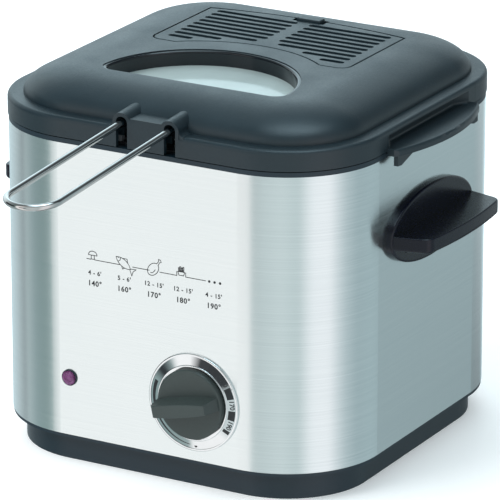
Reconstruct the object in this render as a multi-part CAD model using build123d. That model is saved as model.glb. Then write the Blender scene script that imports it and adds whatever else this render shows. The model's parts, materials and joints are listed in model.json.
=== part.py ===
"""A compact square deep fryer as an assembly of separate pieces, in millimetres.

The origin is the middle of the body on the floor. The controls face -Y, the right side
is +X and +Z is up. One STEP file is written for each named piece.
"""
from build123d import *
import os
from math import cos, radians, sin, tan

# ---- driving dimensions -------------------------------------------------------------
BODY = 210.0            # outside width and depth of the steel wrap
BODY_R = 52.5           # its vertical corner radius
STEEL_T = 0.8           # steel sheet
STEEL_BOTTOM = 16.2
STEEL_TOP = 174.2
GAP = 0.3               # air between pieces that move past each other
FIT = 0.05              # radial clearance of a running fit

# base
BASE_INSET = 7.0        # base walls stand this far inside the steel
BASE_FLOOR = 2.0        # underside of the floor, above the rim that stands on the table
BASE_RIM = 4.0
WALL = 2.2              # moulded wall thickness
FOOT_PLACE = 72.0
FOOT_R = 8.0
TIE_PLACE = 79.5        # tie bolts, on the diagonals between bowl and steel
TIE_R = 2.0

# collar and bowl
COLLAR_TOP = 176.7
BOWL_HALF = 89.3        # outside of the bowl wall at its flange
BOWL_R = 46.0
BOWL_DEPTH = 88.7
BOWL_T = 1.2
BOWL_DRAFT = 4.0        # degrees
BOWL_FLANGE_HALF = 98.0
BOWL_BOTTOM = COLLAR_TOP - BOWL_DEPTH
SPREADER_R = 66.0
SPREADER_T = 6.0
ELEMENT_R = 3.3
ELEMENT_LOOP_R = 50.0
SHIELD_Z = 60.0
BRACE_Z = 44.0
BRACE_HALF = 66.0

# basket
BASKET_HALF = 80.0
BASKET_R = 38.0
BASKET_TOP = 170.2
BASKET_BOTTOM = 97.0
BASKET_T = 1.0
RIM_WIRE_R = 1.75
FRAME_WIRE_R = 1.2
LEG_PLACE = 50.0

# wire handle
HANDLE_X = 14.0         # half the distance between its two legs
HANDLE_WIRE_R = 1.75
HANDLE_SLOPE = 3.8      # degrees down towards the front
HANDLE_Z = 190.5        # height of the wire's axis where it leaves the lid
HANDLE_TIP = -224.0
HANDLE_ROOT = -72.5
SOCKET_FRONT = -84.0
SOCKET_BACK = -70.0
SOCKET_R = 3.2
BRACKET_Y = -84.0
BRACKET_T = 1.6

# lid
LID_HALF = 105.5        # skirt, just outside the steel
LID_R = 53.0
LID_BOTTOM = 177.3
RIM_TOP = 188.0
LID_T = 2.4
DOME_HALF = 97.0
DOME_R = 44.0
DOME_RUN = 33.0         # how far in from its foot the dome keeps rising
DOME_RISE = 14.3
PLATEAU = RIM_TOP + DOME_RISE
SLOT_R = 3.3            # half the width of a handle slot
BOSS_R = 5.3
BOSS_FILLET = 2.6       # hollow where a boss meets the rim
BRIDGE_TOP = 193.2
WING_HALF = 46.0        # side finger grips of the lid, half their length
WING_TOP = 179.0
WING_CORNER_X = 111.8
WING_MID_X = 120.0
SCOOP_X = 101.0

# window and filter bay in the lid
WINDOW_Y = -56.5        # centre of the round part
WINDOW_R = 54.4
WINDOW_FRONT = -62.4
WINDOW_CORNER = 8.0
FRAME_T = 2.0
GLASS_TOP = 194.0
GLASS_T = 3.0
COVER_HALF = 58.2
COVER_FRONT = -2.4
COVER_BACK = 61.3
COVER_BOW = 6.0         # how far the back edge bulges in the middle
COVER_ARC_Y = -55.7      # centre of the hollow front edge
COVER_ARC_R = 68.5
COVER_CORNER = 6.0
COVER_T = 2.0
COVER_GAP = 0.85
SLAT_FIRST = 6.8        # front row of steam slots
SLAT_PITCH = 6.4
SLAT_W = 3.7
SLAT_OUTER = 52.3       # outer end of every row
SLAT_INNER = (38.0, 24.3, 6.4, 3.5, 3.5, 3.5, 3.5, 3.5, 3.5)   # inner ends, front row first
TAB_HALF = 6.9          # rear lift tab of the cover
TAB_FRONT = 63.2
TAB_BACK = 69.0
TAB_RISE = 1.3
TRAY_BOTTOM = 186.0

# control knob, dial and lamp, on the front face
KNOB_X = 27.5
KNOB_Z = 48.0
DIAL_R = 26.2
DIAL_INNER_R = 19.6
BEZEL_BASE = 0.5        # how far the dial's back stands off the steel
BEZEL_FLOOR = 1.2       # thickness of the bezel behind the knob
KNOB_R = 18.7
KNOB_FACE = -110.4
GRIP_FACE = -120.9
GRIP_TURN = 12.0        # degrees the pointing end stands above level
DIAL_RISE = 1.0         # how much higher the dial is beside the knob
SPINDLE_R = 3.0
SPINDLE_FRONT = -114.0
LAMP_X = -46.7
LAMP_Z = 47.8
LAMP_R = 3.5
LENS_R = 3.9

# side handles
GRIP_HALF = 45.0
GRIP_MID_Z = 129.0
GRIP_RISE = 19.5        # half the height of the back flange
GRIP_TOP = 132.0
GRIP_CORNER = (127.0, 39.0)
GRIP_OUT = 130.0
GRIP_EDGE = 8.0         # depth of its outer edge
GRIP_RIB_HALF = 30.0    # half the length of the wedge under it
GRIP_RIB_SLOPE = 18.0   # degrees that wedge falls towards the body
GRIP_FLANGE = 3.5

# mains inlet at the back
INLET_X = 0.0
INLET_Z = 35.0
INLET_R = 7.0

HALF = BODY / 2
INSIDE = HALF - STEEL_T


# ---- helpers ------------------------------------------------------------------------
def slab(half, radius, low, high):
    """A square prism with rounded upright corners."""
    return Pos(0, 0, low) * extrude(RectangleRounded(2 * half, 2 * half, radius), high - low)


def hoop(half, radius, wall, low, high):
    """A slab with the same shape, set in by the wall, taken out of it."""
    return slab(half, radius, low, high) - slab(half - wall, radius - wall, low - 1, high + 1)


def drum(radius, low, high, x=0, y=0):
    """An upright round bar."""
    return Pos(x, y, low) * extrude(Circle(radius), high - low)


def bar_y(radius, front, back, x=0, z=0):
    """A round bar along Y."""
    return Pos(x, front, z) * Rot(-90, 0, 0) * extrude(Circle(radius), back - front)


def bar_x(radius, low, high, y=0, z=0):
    """A round bar along X."""
    return Pos(low, y, z) * Rot(0, 90, 0) * extrude(Circle(radius), high - low)


def block(x0, x1, y0, y1, z0, z1):
    """A box from its low corner to its high corner."""
    middle = Pos((x0 + x1) / 2, (y0 + y1) / 2, (z0 + z1) / 2)
    return middle * Box(x1 - x0, y1 - y0, z1 - z0)


def corners(place):
    """The four places at plus and minus the same distance."""
    return [(sx * place, sy * place) for sx in (-1, 1) for sy in (-1, 1)]


def merged(pieces):
    """Every solid of a list in one shape, kept as separate solids."""
    return Compound(children=[solid for piece in pieces for solid in piece.solids()])


def wire_along(path, radius):
    """A round wire along a path that starts in its own plane."""
    start = Plane(origin=path @ 0, z_dir=path % 0)
    return sweep(start * Circle(radius), path=path)


def square_path(half, radius, z):
    """The outline of a rounded square at one height."""
    return (Pos(0, 0, z) * RectangleRounded(2 * half, 2 * half, radius)).face().outer_wire()


def square_wire(half, radius, z, wire_r):
    """A wire bent to a rounded square."""
    path = square_path(half, radius, z)
    start = Plane(origin=path @ 0, z_dir=path % 0)
    return sweep(start * Circle(wire_r), path=path)


def screw(shank_r, length, head_r, head_t):
    """A cross-head screw: its head is above the origin, its shank below."""
    body = extrude(Circle(head_r), head_t) + Pos(0, 0, -length) * extrude(Circle(shank_r), length)
    cross = Box(head_r, 0.8, 0.8) + Box(0.8, head_r, 0.8)
    return body - Pos(0, 0, head_t) * cross


# ---- base and casing ----------------------------------------------------------------
def base_tray():
    half = HALF - BASE_INSET
    tray = slab(half, BODY_R - BASE_INSET, 0, STEEL_BOTTOM)
    tray -= slab(half - BASE_RIM, BODY_R - BASE_INSET - BASE_RIM, -1, BASE_FLOOR)
    tray += slab(HALF - 0.3, BODY_R - 0.3, STEEL_BOTTOM - 1.8, STEEL_BOTTOM)
    tray += slab(INSIDE - 0.1, BODY_R - 0.9, STEEL_BOTTOM, STEEL_BOTTOM + 6)
    tray -= slab(half - WALL, BODY_R - BASE_INSET - WALL, BASE_FLOOR + WALL, STEEL_BOTTOM + 7)
    for x, y in corners(FOOT_PLACE):
        tray -= drum(FOOT_R - 2, 0, BASE_FLOOR + 1, x, y)
    for x, y in corners(TIE_PLACE):
        tray -= drum(TIE_R + 0.2, 0, STEEL_BOTTOM + 7, x, y)
        tray -= drum(TIE_R + 2.2, 0, BASE_FLOOR + 3, x, y)
    for side in (-1, 1):
        post = drum(5, BASE_FLOOR + 1, BRACE_Z, side * (BRACE_HALF - 8))
        tray += post - drum(1.5, BRACE_Z - 12, BRACE_Z + 1, side * (BRACE_HALF - 8))
    for row in range(-3, 4):
        tray -= block(-28, 28, row * 9 - 2, row * 9 + 2, 0, BASE_FLOOR + WALL + 1)
    return tray


def rubber_feet():
    feet = []
    for x, y in corners(FOOT_PLACE):
        pad = drum(FOOT_R, 0, BASE_FLOOR, x, y) + drum(FOOT_R - 2, BASE_FLOOR, BASE_FLOOR + 1, x, y)
        feet.append(pad)
    return merged(feet)


def tie_bolts():
    bolts = []
    for x, y in corners(TIE_PLACE):
        bolt = drum(TIE_R, BASE_FLOOR + 3, COLLAR_TOP - 6, x, y)
        bolt += drum(TIE_R + 2, BASE_FLOOR + 0.6, BASE_FLOOR + 3, x, y)
        bolts.append(bolt - block(x - 2.5, x + 2.5, y - 0.5, y + 0.5, 0, BASE_FLOOR + 1.6))
    return merged(bolts)


def steel_wrap():
    wrap = hoop(HALF, BODY_R, STEEL_T, STEEL_BOTTOM, STEEL_TOP)
    wrap -= bar_y(7, -HALF - 1, -HALF + 2, KNOB_X, KNOB_Z)
    for side in (-1, 1):
        wrap -= bar_y(1.7, -HALF - 1, -HALF + 2, KNOB_X + side * 12, KNOB_Z)
        for y in (-24, 24):
            start = side * HALF
            wrap -= bar_x(2.1, min(start - 2, start + 2), max(start - 2, start + 2), y, GRIP_MID_Z)
    wrap -= bar_y(LAMP_R + 0.1, -HALF - 1, -HALF + 2, LAMP_X, LAMP_Z)
    wrap -= bar_y(INLET_R + 0.1, HALF - 2, HALF + 1, INLET_X, INLET_Z)
    return wrap


def top_collar():
    collar = hoop(HALF, BODY_R, 17, STEEL_TOP, COLLAR_TOP)
    collar += hoop(INSIDE - 0.1, BODY_R - 0.9, WALL, STEEL_TOP - 8, STEEL_TOP)
    for x, y in corners(TIE_PLACE):
        collar += drum(5, STEEL_TOP - 14, STEEL_TOP, x, y)
        collar -= drum(TIE_R + 0.02, STEEL_TOP - 15, COLLAR_TOP - 5.9, x, y)
    return collar - slab(BOWL_HALF + 0.4, BOWL_R + 0.4, STEEL_TOP - 20, COLLAR_TOP + 1)


# ---- bowl and heater ----------------------------------------------------------------
def drafted(half, radius, depth, top, draft, round_r):
    """A tub shape that narrows downwards, with a rounded bottom edge."""
    face = Pos(0, 0, top) * RectangleRounded(2 * half, 2 * half, radius)
    tub = extrude(face, amount=depth, dir=(0, 0, -1), taper=draft)
    return fillet(tub.edges().group_by(Axis.Z)[0], round_r)


def oil_bowl():
    bowl = drafted(BOWL_HALF, BOWL_R, BOWL_DEPTH, COLLAR_TOP, BOWL_DRAFT, 12)
    bowl += slab(BOWL_FLANGE_HALF, BOWL_R + 9, COLLAR_TOP, COLLAR_TOP + 1)
    inner = drafted(
        BOWL_HALF - BOWL_T, BOWL_R - BOWL_T, BOWL_DEPTH - BOWL_T, COLLAR_TOP, BOWL_DRAFT, 11
    )
    bowl -= inner
    return bowl - slab(BOWL_HALF - BOWL_T, BOWL_R - BOWL_T, COLLAR_TOP, COLLAR_TOP + 2)


def heat_spreader():
    plate = drum(SPREADER_R, BOWL_BOTTOM - SPREADER_T, BOWL_BOTTOM)
    groove = element_path_solid(ELEMENT_R)
    return plate - groove


def element_path():
    """An almost closed ring whose two ends turn down to the terminals."""
    z = BOWL_BOTTOM - SPREADER_T
    start = 20.0
    ring = CenterArc((0, 0, z), ELEMENT_LOOP_R, 90 + start, 360 - 2 * start)
    return Wire([ring.edge()])


def element_path_solid(radius):
    ring = element_path()
    return wire_along(ring, radius)


def heating_element():
    ring = element_path()
    tube = wire_along(ring, ELEMENT_R)
    for end in (ring @ 0, ring @ 1):
        tube += drum(ELEMENT_R, end.Z - 14, end.Z, end.X, end.Y)
        tube += drum(1.2, end.Z - 22, end.Z - 14, end.X, end.Y)
    return tube


def bowl_stud():
    stud = drum(2.5, BRACE_Z - 8, BOWL_BOTTOM - SPREADER_T)
    return stud + drum(7, BOWL_BOTTOM - SPREADER_T - 2, BOWL_BOTTOM - SPREADER_T)


def heat_shield():
    shield = drum(74, SHIELD_Z, SHIELD_Z + 9) - drum(73.2, SHIELD_Z + 0.8, SHIELD_Z + 10)
    shield -= drum(2.8, SHIELD_Z - 1, SHIELD_Z + 2)
    ring = element_path()
    for end in (ring @ 0, ring @ 1):
        shield -= drum(5, SHIELD_Z - 1, SHIELD_Z + 2, end.X, end.Y)
    return shield


def shield_spacer():
    spacer = drum(5, SHIELD_Z + 0.8, BOWL_BOTTOM - SPREADER_T - 2)
    spacer += drum(5, BRACE_Z + 1.5, SHIELD_Z)
    return merged([spacer - drum(2.7, 0, 200)])


def cross_brace():
    strap = block(-BRACE_HALF, BRACE_HALF, -9, 9, BRACE_Z, BRACE_Z + 1.5)
    strap -= drum(2.7, 0, 100)
    for side in (-1, 1):
        strap -= drum(1.7, 0, 100, side * (BRACE_HALF - 8))
    return strap


def brace_fasteners():
    top = BRACE_Z + 1.5
    pieces = [Pos(side * (BRACE_HALF - 8), 0, top) * screw(1.48, 11, 3.2, 2) for side in (-1, 1)]
    nut = Pos(0, 0, BRACE_Z - 4) * extrude(RegularPolygon(4.6, 6), 4) - drum(2.52, 0, 100)
    return merged(pieces + [nut])


# ---- electrics ----------------------------------------------------------------------
THERMO_BACK = -HALF + 27
SENSOR_R = 2.6
SENSOR_Z = 118.0
SENSOR_Y = -(BOWL_HALF - 0.9)


def thermostat_body():
    face = -HALF + STEEL_T
    body = block(KNOB_X - 16, KNOB_X + 16, face, THERMO_BACK, KNOB_Z - 14, KNOB_Z + 14)
    body = fillet(body.edges().filter_by(Axis.Y), 3)
    body -= bar_y(SPINDLE_R + FIT, face - 1, face + 17, KNOB_X, KNOB_Z)
    for side in (-1, 1):
        body -= bar_y(1.52, face - 1, face + 7, KNOB_X + side * 12, KNOB_Z)
        blade = block(-0.4, 0.4, THERMO_BACK, THERMO_BACK + 8, -3, 3)
        body += Pos(KNOB_X + side * 8, 0, KNOB_Z - 6) * blade
    return body


def bowl_half_at(z):
    """Half the outside width of the bowl at one height."""
    return BOWL_HALF - (COLLAR_TOP - z) * tan(radians(BOWL_DRAFT))


def thermostat_sensor():
    """Fluid bulb clipped along the bowl wall, with its thin tube to the thermostat."""
    y = SENSOR_Y
    tube = FilletPolyline(
        (40, y, SENSOR_Z), (54, y, SENSOR_Z), (54, y, KNOB_Z + 6), (KNOB_X + 16, y, KNOB_Z + 6),
        radius=6,
    )
    return bar_x(SENSOR_R, -30, 40, y, SENSOR_Z) + wire_along(Wire(tube.edges()), 0.9)


def sensor_clips():
    clips = []
    wall = -bowl_half_at(SENSOR_Z + SENSOR_R + 1) - 0.1
    for x in (-18, 28):
        clip = bar_x(SENSOR_R + 0.8, x, x + 6, SENSOR_Y, SENSOR_Z)
        clip -= bar_x(SENSOR_R + 0.02, x - 1, x + 7, SENSOR_Y, SENSOR_Z)
        clips.append(clip - block(x - 1, x + 7, wall, 0, SENSOR_Z - 6, SENSOR_Z + 6))
    return merged(clips)


def thermal_cutout():
    can = drum(8, BOWL_BOTTOM - SPREADER_T - 8, BOWL_BOTTOM - SPREADER_T, 0, 30)
    for side in (-1, 1):
        can += block(side * 4 - 2, side * 4 + 2, 29.6, 30.4, BOWL_BOTTOM - 22, BOWL_BOTTOM - 13)
    return can


def terminal_block():
    body = block(-22, 22, 62, 78, BASE_FLOOR + WALL, BASE_FLOOR + WALL + 14)
    for x in (-14, 0, 14):
        body -= drum(3, BASE_FLOOR + WALL + 6, 30, x, 66)
        body -= bar_y(2, 55, 85, x, BASE_FLOOR + WALL + 7)
    return body


def terminal_screws():
    top = BASE_FLOOR + WALL + 6
    return merged([drum(2.6, top, top + 5, x, 66) for x in (-14, 0, 14)])


def lamp_lens():
    stem = bar_y(LAMP_R, -HALF - 0.2, -HALF + 8, LAMP_X, LAMP_Z)
    cap = bar_y(LENS_R, -HALF - 1.2, -HALF - 0.2, LAMP_X, LAMP_Z)
    dome = Pos(LAMP_X, -HALF - 1.2, LAMP_Z) * scale(Sphere(LENS_R - 0.3), by=(1, 0.55, 1))
    hollow = bar_y(LAMP_R - 1, -HALF - 0.6, -HALF + 9, LAMP_X, LAMP_Z)
    return stem + cap + dome - hollow


def lamp_ring():
    ring = bar_y(LENS_R + 0.45, -HALF - 0.8, -HALF, LAMP_X, LAMP_Z)
    ring -= bar_y(LENS_R + 0.02, -HALF - 2, -HALF - 0.2, LAMP_X, LAMP_Z)
    return ring - bar_y(LAMP_R + 0.02, -HALF - 3, -HALF + 3, LAMP_X, LAMP_Z)


def lamp_holder():
    face = -HALF + STEEL_T
    body = bar_y(5.6, face, face + 12, LAMP_X, LAMP_Z)
    return body - bar_y(LAMP_R + 0.02, face - 1, face + 11, LAMP_X, LAMP_Z)


def neon_lamp():
    bulb = bar_y(2.2, -HALF + 0.6, -HALF + 9, LAMP_X, LAMP_Z)
    return bulb + bar_y(0.5, -HALF + 9, -HALF + STEEL_T + 11, LAMP_X, LAMP_Z)


def inlet_gland():
    flange = bar_y(10, HALF, HALF + 3, INLET_X, INLET_Z)
    neck = bar_y(INLET_R, HALF - 9, HALF, INLET_X, INLET_Z)
    nut = bar_y(10, HALF - 5, HALF - STEEL_T, INLET_X, INLET_Z)
    return flange + neck + nut - bar_y(3.4, HALF - 12, HALF + 5, INLET_X, INLET_Z)


def wiring_harness():
    """Sleeved leads from the terminals to the thermostat, lamp and heater."""
    low = BASE_FLOOR + WALL + 2.5
    routes = [
        [(-14, 61, low + 4), (-14, 40, low), (-42, 10, low), (-42, -50, low),
         (LAMP_X, -76, 30), (LAMP_X, -88, 36)],
        [(0, 61, low + 4), (0, 48, low), (36, 24, low), (36, -40, low), (KNOB_X - 8, -58, 24),
         (KNOB_X - 8, -69, KNOB_Z - 10.5)],
        [(14, 61, low + 4), (14, 52, low + 2), (34, 52, 24), (17.1, 47, 40), (17.1, 47, 57)],
    ]
    leads = []
    for route in routes:
        path = FilletPolyline(*route, radius=4)
        leads.append(wire_along(Wire(path.edges()), 1.4))
    return merged(leads)


# ---- dial and knob ------------------------------------------------------------------
def control_bezel():
    face = -HALF
    seat = face - BEZEL_BASE
    ring = bar_y(DIAL_R, seat, face, KNOB_X, KNOB_Z)
    lip = bar_y(DIAL_R, seat - 0.7, seat, KNOB_X, KNOB_Z)
    lip = fillet(lip.edges().group_by(Axis.Y)[0], 0.5)
    ring += lip - bar_y(DIAL_R - 1.1, face - 4, seat + 0.2, KNOB_X, KNOB_Z)
    ring += bar_y(DIAL_R - 1, seat, seat + 0.3, KNOB_X, KNOB_Z)
    inner = bar_y(DIAL_INNER_R + 0.8, seat - 1.9, seat, KNOB_X, KNOB_Z)
    inner = fillet(inner.edges().group_by(Axis.Y)[0], 0.4)
    ring += inner - bar_y(DIAL_INNER_R, face - 4, face - BEZEL_FLOOR, KNOB_X, KNOB_Z)
    ring -= bar_y(SPINDLE_R + 0.6, face - 3, face + 1, KNOB_X, KNOB_Z)
    for side in (-1, 1):
        ring -= bar_y(1.7, face - 3, face + 1, KNOB_X + side * 12, KNOB_Z)
    return ring


def dial_plate():
    """A ring that rises towards the knob."""
    inner, outer = DIAL_INNER_R + 0.8, DIAL_R - 1.1
    profile = Polyline((inner, 0), (inner, 0.4 + DIAL_RISE), (outer, 0.4), (outer, 0), close=True)
    ring = revolve(Plane.XZ * make_face(profile), axis=Axis.Z)
    return Pos(KNOB_X, -HALF - BEZEL_BASE, KNOB_Z) * Rot(90, 0, 0) * ring


def thermostat_screws():
    face = -HALF - 1.2
    pieces = []
    for side in (-1, 1):
        turned = Pos(KNOB_X + side * 12, face, KNOB_Z) * Rot(90, 0, 0)
        pieces.append(turned * screw(1.5, 7.5, 2.8, 1.2))
    return merged(pieces)


def knob_grip():
    """The bar across the knob: widest in the middle, narrow at its pointing end."""
    reach = KNOB_FACE - GRIP_FACE
    plan = Polyline(
        (-KNOB_R + 0.6, 2), (-KNOB_R + 1.4, -reach + 2), (-KNOB_R + 3, -reach),
        (KNOB_R - 3.6, -reach), (KNOB_R - 0.8, 2), close=True,
    )
    lengthways = extrude(Pos(0, 0, -9) * make_face(plan), 18)
    left, right = -KNOB_R - 1, KNOB_R - 2
    outline = Line((left, -2.7), (left, 2.7)) + ThreePointArc((left, 2.7), (-1, 3.5), (right, 2.3))
    outline += Line((right, 2.3), (right, -2.3))
    outline += ThreePointArc((right, -2.3), (-1, -3.5), (left, -2.7))
    front = Plane(origin=(0, -reach, 0), x_dir=(1, 0, 0), z_dir=(0, -1, 0))
    upright = extrude(front * make_face(outline), amount=reach + 3, dir=(0, 1, 0), taper=-7)
    grip = lengthways & upright
    grip = fillet(grip.edges().group_by(Axis.Y)[0], 0.5)
    return Pos(KNOB_X, KNOB_FACE, KNOB_Z) * Rot(0, -GRIP_TURN, 0) * grip


def control_knob():
    back = -HALF - 1.6
    knob = bar_y(KNOB_R, KNOB_FACE, back, KNOB_X, KNOB_Z)
    knob = fillet(knob.edges().group_by(Axis.Y)[0], 1.0)
    knob -= bar_y(KNOB_R - 1.8, back - 1.8, back + 1, KNOB_X, KNOB_Z)
    knob += bar_y(5.2, back - 3, back, KNOB_X, KNOB_Z)
    knob += knob_grip()
    bore = bar_y(SPINDLE_R + 0.02, SPINDLE_FRONT - 0.1, 0, KNOB_X, KNOB_Z)
    return knob - (bore & block(KNOB_X - 5, KNOB_X + 5, -130, 0, KNOB_Z - 5, KNOB_Z + 2))


def knob_spindle():
    rod = bar_y(SPINDLE_R, SPINDLE_FRONT, -HALF + STEEL_T + 16, KNOB_X, KNOB_Z)
    flat = block(KNOB_X - 5, KNOB_X + 5, -130, -HALF - 1.4, KNOB_Z + 1.98, KNOB_Z + 6)
    return rod - flat


# ---- side handles -------------------------------------------------------------------
def grip_plan():
    """A side grip seen from above: straight cheeks and a bowed outer edge."""
    corner_x, corner_y = GRIP_CORNER
    root_x, root_y = HALF - 8, GRIP_HALF + 1.5
    plan = Line((root_x, -root_y), (corner_x, -corner_y))
    plan += ThreePointArc((corner_x, -corner_y), (GRIP_OUT, 0), (corner_x, corner_y))
    plan += Line((corner_x, corner_y), (root_x, root_y)) + Line((root_x, root_y), (root_x, -root_y))
    sheet = make_face(plan)
    return fillet([v for v in sheet.vertices() if v.X > HALF], 6)


def side_handle(side):
    """An oval flange on the steel with a shelf grip, a wedge stiffening it from below."""
    plane = Plane(origin=(HALF, 0, 0), x_dir=(0, 1, 0), z_dir=(1, 0, 0))
    flange = extrude(plane * Pos(0, GRIP_MID_Z) * Ellipse(GRIP_HALF, GRIP_RISE), GRIP_FLANGE)
    flange = fillet(flange.edges().group_by(Axis.X)[-1], 1.4)
    step = GRIP_TOP - GRIP_EDGE
    shelf = Pos(0, 0, step) * extrude(grip_plan(), GRIP_EDGE)
    shelf = fillet([e for e in shelf.edges().group_by(Axis.Z)[-1] if e.center().X > HALF], 0.9)
    shelf = fillet([e for e in shelf.edges().group_by(Axis.Z)[0] if e.center().X > HALF], 2)
    reach = GRIP_OUT - 8
    root = step - (reach - HALF) * tan(radians(GRIP_RIB_SLOPE))
    wedge = Polyline((HALF, step + 1), (reach, step + 1), (reach, step), (HALF, root), close=True)
    rib = extrude(Plane.XZ * make_face(wedge), GRIP_RIB_HALF, both=True)
    oval = extrude(plane * Pos(0, GRIP_TOP) * Ellipse(GRIP_HALF + 1.5, GRIP_TOP - 109.5), 40)
    grip = (shelf + rib) & oval
    handle = flange + (grip & block(HALF, 200, -80, 80, 90, 160))
    for y in (-24, 24):
        handle -= bar_x(1.55, HALF - 1, HALF + 11, y, GRIP_MID_Z)
    return handle if side > 0 else mirror(handle, about=Plane.YZ)


def handle_screws():
    pieces = []
    for side in (-1, 1):
        for y in (-24, 24):
            place = Pos(side * INSIDE, y, GRIP_MID_Z) * Rot(0, -90 * side, 0)
            pieces.append(place * screw(1.5, 10, 3.2, 2))
    return merged(pieces)


# ---- basket -------------------------------------------------------------------------
def basket_mesh():
    depth = BASKET_TOP - BASKET_BOTTOM
    tub = drafted(BASKET_HALF, BASKET_R, depth, BASKET_TOP, BOWL_DRAFT, 9)
    inner = drafted(
        BASKET_HALF - BASKET_T, BASKET_R - BASKET_T, depth - BASKET_T, BASKET_TOP, BOWL_DRAFT, 8
    )
    return tub - inner


def basket_rim():
    return square_wire(BASKET_HALF - 0.5, BASKET_R - 0.5, BASKET_TOP + RIM_WIRE_R, RIM_WIRE_R)


def basket_legs():
    """Two bent wires under the basket that stand it off the bowl."""
    foot = BOWL_BOTTOM + BOWL_T + GAP + FRAME_WIRE_R
    top = BASKET_BOTTOM - FRAME_WIRE_R
    legs = []
    for side in (-1, 1):
        x = side * LEG_PLACE
        path = FilletPolyline(
            (x, -60, top), (x, -52, top), (x, -47, foot), (x, -38, foot), (x, -33, top),
            (x, 33, top), (x, 38, foot), (x, 47, foot), (x, 52, top), (x, 60, top), radius=2.4,
        )
        legs.append(wire_along(Wire(path.edges()), FRAME_WIRE_R))
    return merged(legs)


def slope_z(y):
    """Height of the handle wire's axis at a given Y."""
    return HANDLE_Z + (y + HALF) * tan(radians(HANDLE_SLOPE))


def along_handle(radius, front, back, x):
    """A round bar on the axis of one handle leg, between two Y positions."""
    length = (back - front) / cos(radians(HANDLE_SLOPE))
    place = Pos(x, front, slope_z(front)) * Rot(-90 + HANDLE_SLOPE, 0, 0)
    return place * extrude(Circle(radius), length)


def handle_bracket():
    back = BRACKET_Y + BRACKET_T
    plate = block(-20, 20, BRACKET_Y, back, 156, slope_z(BRACKET_Y) - 1)
    plate = fillet(plate.edges().filter_by(Axis.Y), 3)
    plate -= block(-8, 8, BRACKET_Y - 1, back + 1, 178, 200)
    for x in (-12, 12):
        plate += block(x - 4, x + 4, back, -BASKET_HALF - 0.9, BASKET_TOP, BASKET_TOP + 3)
    for side in (-1, 1):
        x = side * HANDLE_X
        plate += along_handle(SOCKET_R, SOCKET_FRONT, SOCKET_BACK, x)
        plate -= along_handle(HANDLE_WIRE_R + FIT, SOCKET_FRONT - 9, SOCKET_BACK + 5, x)
    return plate


def basket_handle():
    """One wire bent to a long U, whose two ends sit in the bracket's sockets."""
    slope = radians(HANDLE_SLOPE)
    run = (HANDLE_ROOT - HANDLE_TIP) / cos(slope)
    straight = run - HANDLE_X
    path = Line((-HANDLE_X, 0), (-HANDLE_X, -straight))
    path += ThreePointArc((-HANDLE_X, -straight), (0, -run), (HANDLE_X, -straight))
    path += Line((HANDLE_X, -straight), (HANDLE_X, 0))
    bent = wire_along(Wire(path.edges()), HANDLE_WIRE_R)
    return Pos(0, HANDLE_ROOT, slope_z(HANDLE_ROOT)) * Rot(HANDLE_SLOPE, 0, 0) * bent


# ---- lid ----------------------------------------------------------------------------
def dome(inset):
    """The cap of the lid: its edge falls away along a quarter ellipse."""
    extra = 3.0
    size = 2 * (DOME_HALF - inset)
    cap = extrude(RectangleRounded(size, size, DOME_R - inset), DOME_RUN + extra)
    cap = fillet(cap.edges().group_by(Axis.Z)[-1], DOME_RUN)
    ratio = DOME_RISE / DOME_RUN
    return Pos(0, 0, RIM_TOP - inset - extra * ratio) * scale(cap, by=(1, 1, ratio))


def window_outline(inset):
    """A disc with its front cut straight and the two cut corners rounded."""
    disc = Pos(0, WINDOW_Y) * Circle(WINDOW_R - inset)
    keep = Pos(0, WINDOW_FRONT + inset + 100) * Rectangle(300, 200)
    cut = disc & keep
    return fillet(cut.vertices(), max(WINDOW_CORNER - inset, 2))


def cover_outline(grow):
    """The filter cover seen from above, made bigger by grow on every side."""
    half = COVER_HALF + grow
    front = COVER_FRONT - grow
    back = COVER_BACK + grow
    edge = Line((-half, back), (-half, front)) + Line((-half, front), (half, front))
    edge += Line((half, front), (half, back))
    edge += ThreePointArc((half, back), (0, back + COVER_BOW), (-half, back))
    sheet = make_face(edge)
    sheet -= Pos(0, COVER_ARC_Y) * Circle(COVER_ARC_R - grow)
    outer = [v for v in sheet.vertices() if abs(v.X) > half - 1 and v.Y < 0]
    return fillet(outer, COVER_CORNER + grow)


def slot_tool(x):
    """The way of one handle wire through the front of the lid, open downwards."""
    tool = along_handle(SLOT_R, -HALF - 8, -84, x)
    low = LID_BOTTOM - 6
    outline = Polyline(
        (-HALF - 8, low), (-HALF - 8, slope_z(-HALF - 8)), (-84, slope_z(-84)), (-84, low), close=True
    )
    plane = Plane(origin=(x - SLOT_R, 0, 0), x_dir=(0, 1, 0), z_dir=(1, 0, 0))
    return tool + extrude(plane * make_face(outline), 2 * SLOT_R)


def front_boss(x):
    """The hood over one handle wire, with a hollow where its outer side meets the rim."""
    boss = along_handle(BOSS_R, -LID_HALF, -88, x)
    boss += block(x - BOSS_R, x + BOSS_R, -LID_HALF, -88, RIM_TOP - 2, slope_z(-LID_HALF))
    way = 1 if x > 0 else -1
    foot = x + way * BOSS_R
    low, high = sorted((foot - way, foot + way * BOSS_FILLET))
    web = block(low, high, -LID_HALF + 0.4, -92, RIM_TOP - 1, RIM_TOP + BOSS_FILLET)
    round_x = foot + way * BOSS_FILLET
    return boss + web - bar_y(BOSS_FILLET, -130, -60, round_x, RIM_TOP + BOSS_FILLET)


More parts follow.
